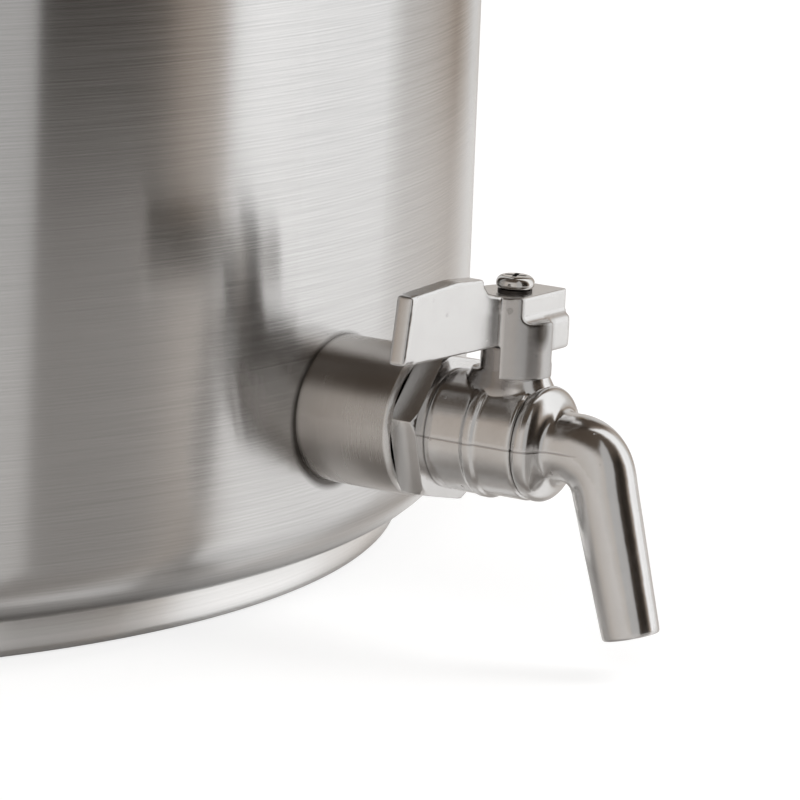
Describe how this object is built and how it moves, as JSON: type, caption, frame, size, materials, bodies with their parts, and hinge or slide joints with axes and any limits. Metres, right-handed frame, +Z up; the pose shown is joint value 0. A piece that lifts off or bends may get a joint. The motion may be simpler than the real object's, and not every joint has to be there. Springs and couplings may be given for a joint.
{
  "type": "steam jacketed kettle",
  "caption": "Double-walled round kettle on a flat capsule base, with a lever ball tap at its foot, side handles, lid, steam sockets, safety valve and pressure gauge.",
  "frame": {"origin": "centre of the flat underside of the capsule base", "axes": "+Z up along the pot's axis; the tap points along -Y; the side handles lie along X"},
  "size_m": [0.488, 0.5121, 0.3925],
  "materials": {
    "jacket_steel": "satin, fine brushing round the pot",
    "vessel_steel": "fine satin",
    "base_steel": "smooth satin",
    "core_aluminium": "as rolled",
    "polished_steel": "polished stainless",
    "cast_steel": "investment cast and polished",
    "pipe_steel": "turned and polished",
    "seal_ptfe": "white PTFE",
    "gasket_rubber": "black EPDM",
    "valve_brass": "turned, slightly dull",
    "spring_steel": "drawn wire",
    "dial_paint": "matt white with black scale",
    "needle_paint": "matt black",
    "gauge_window": "clear"
  },
  "bodies": {
    "kettle": {"base_cap": "base_steel", "base_core": "core_aluminium", "inner_vessel": "vessel_steel", "outer_jacket": "jacket_steel", "rim_ring": "polished_steel", "left_handle": "polished_steel", "right_handle": "polished_steel", "left_handle_pads": "polished_steel", "right_handle_pads": "polished_steel", "outlet_sleeve": "pipe_steel", "tap_gasket": "gasket_rubber", "tap_adaptor": "pipe_steel", "tap_body": "cast_steel", "inlet_seat": "seal_ptfe", "outlet_seat": "seal_ptfe", "stem_packing": "seal_ptfe", "stem_gland": "pipe_steel", "tap_spout": "cast_steel", "steam_inlet_socket": "pipe_steel", "condensate_socket": "pipe_steel", "gauge_socket": "pipe_steel", "relief_elbow": "pipe_steel", "relief_body": "valve_brass", "relief_bonnet": "valve_brass", "relief_spring": "spring_steel", "gauge_stem": "valve_brass", "gauge_case": "polished_steel", "gauge_movement": "valve_brass", "gauge_dial": "dial_paint", "gauge_glass": "gauge_window", "gauge_bezel": "polished_steel"},
    "tap_handle": {"tap_lever": "cast_steel", "lever_screw": "polished_steel", "lever_washer": "polished_steel", "tap_stem": "pipe_steel", "valve_ball": "polished_steel"},
    "lid": {"lid_shell": "vessel_steel", "lid_grip_feet": "polished_steel", "lid_grip": "polished_steel"},
    "relief_plug": {"relief_spindle": "valve_brass", "relief_knob": "valve_brass"},
    "gauge_pointer": {"gauge_needle": "needle_paint"}
  },
  "joints": [
    {"name": "tap_turn", "type": "hinge", "parent": "kettle", "child": "tap_handle", "pos_m": [0, -0.2448, 0.0489], "axis": [0.0262, 0, 0.9997], "range_deg": [0, 90]},
    {"name": "lid_lift", "type": "slide", "parent": "kettle", "child": "lid", "axis": [0, 0, 1], "range_m": [0, 0.12]},
    {"name": "relief_lift", "type": "slide", "parent": "kettle", "child": "relief_plug", "axis": [0, 0, 1], "range_m": [0, 0.002], "stiffness_N_per_m": 2000, "springref_m": -0.01, "deforming": ["relief_spring"]},
    {"name": "gauge_pointer_turn", "type": "hinge", "parent": "kettle", "child": "gauge_pointer", "pos_m": [0.18158, -0.18158, 0.238], "axis": [-0.7071, 0.7071, 0], "range_deg": [0, 270], "stiffness_Nm_per_rad": 0.01}
  ]
}
